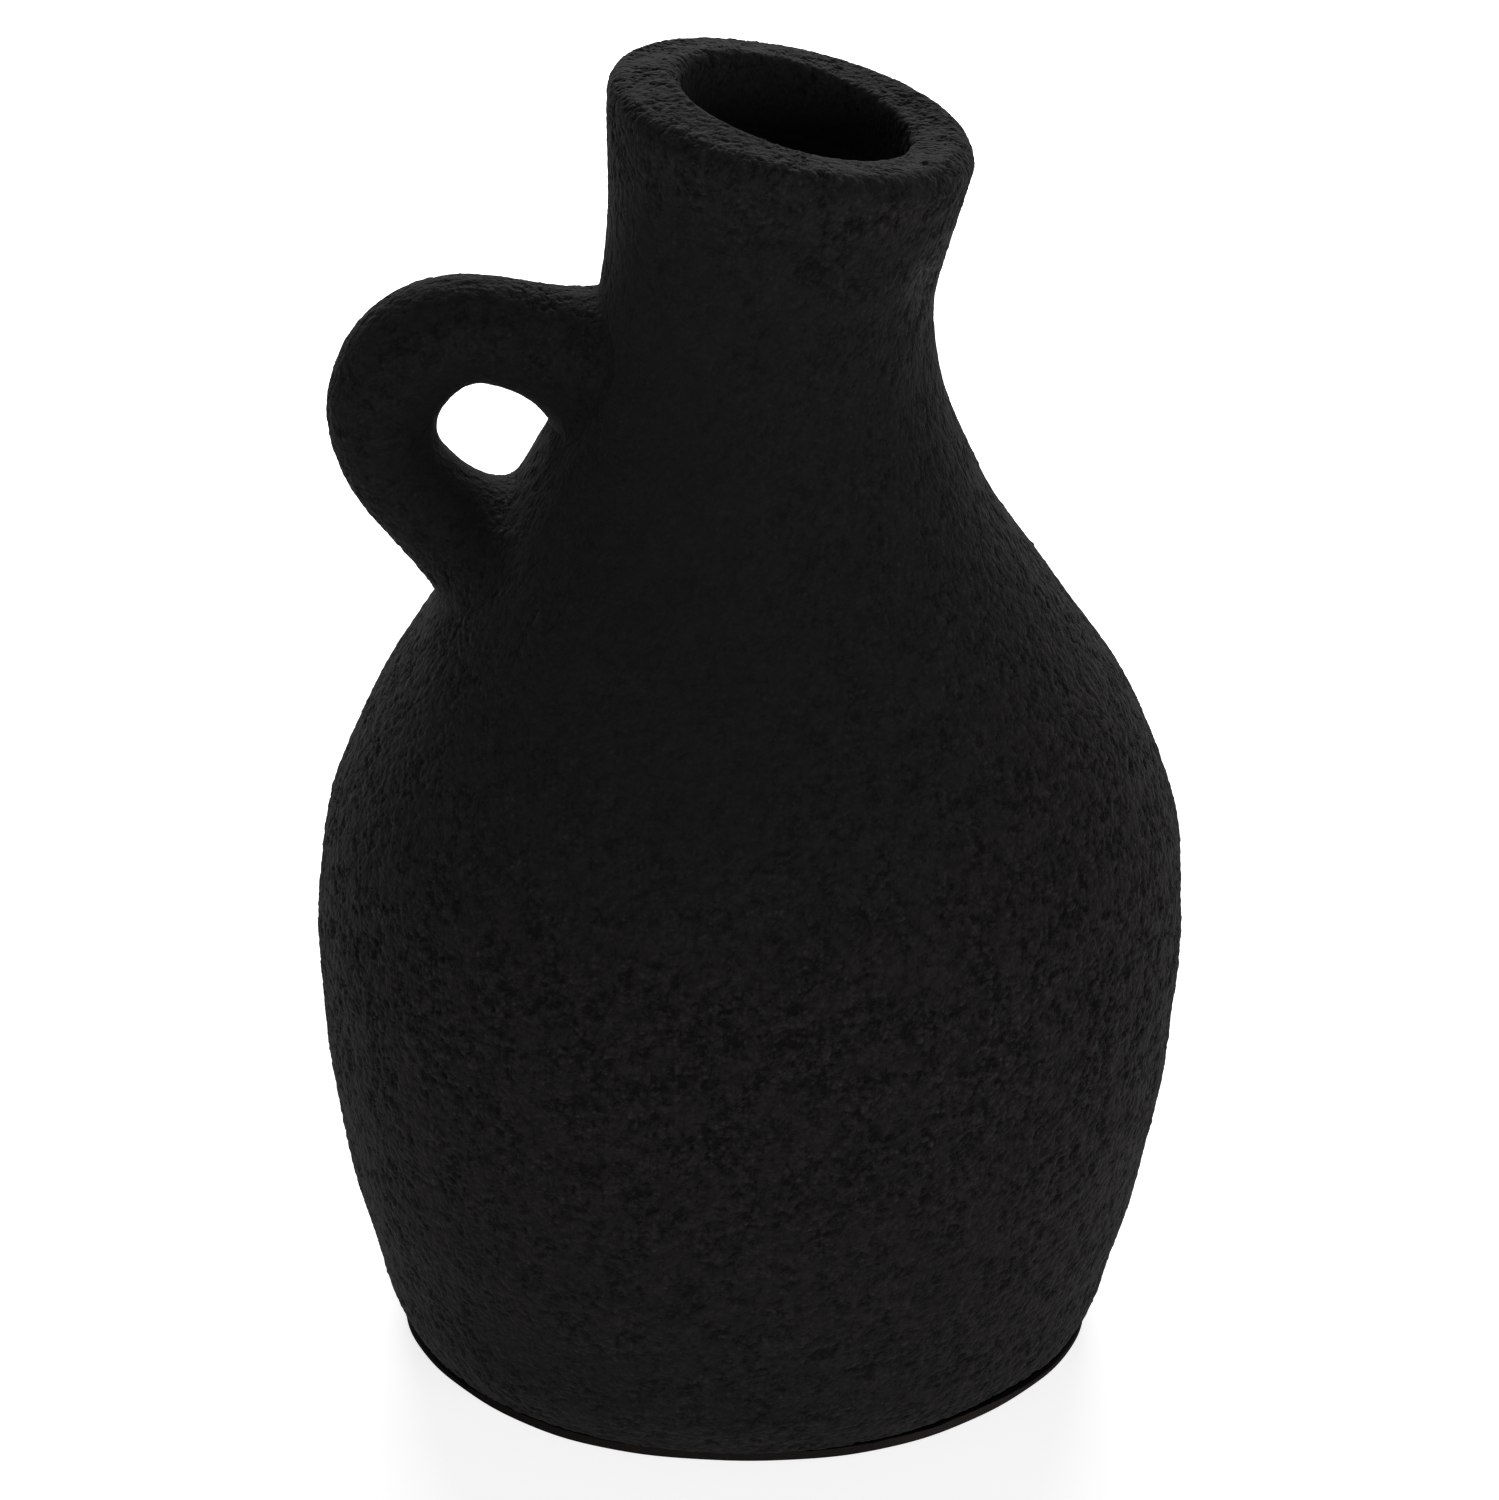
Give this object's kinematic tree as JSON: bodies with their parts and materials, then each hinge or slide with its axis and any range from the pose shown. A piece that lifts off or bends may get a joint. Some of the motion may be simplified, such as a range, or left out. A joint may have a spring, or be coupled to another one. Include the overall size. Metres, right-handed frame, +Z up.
{
  "type": "terracotta vase",
  "caption": "Hand-built dark terracotta vase with a round belly, a leaning neck, a thick slanted lip and one loop handle.",
  "frame": {"origin": "middle of the face that rests on the table", "axes": "+Z up; the handle stands on the -X side and the neck leans towards +X, where the lip is lowest"},
  "size_m": [0.2019, 0.2018, 0.3126],
  "materials": {
    "pad_felt": "matt dark felt",
    "body_clay": "matt near-black fired clay with flaky, crumbly relief, unglazed",
    "rim_clay": "matt near-black fired clay, coarser and a little paler where it is rubbed",
    "handle_clay": "matt near-black fired clay, smoothed by hand"
  },
  "bodies": {
    "root": {"base_pad": "pad_felt", "floor_slab": "body_clay", "lower_wall": "body_clay", "belly_wall": "body_clay", "shoulder_wall": "body_clay", "neck": "body_clay", "rim": "rim_clay", "handle": "handle_clay"}
  },
  "joints": []
}
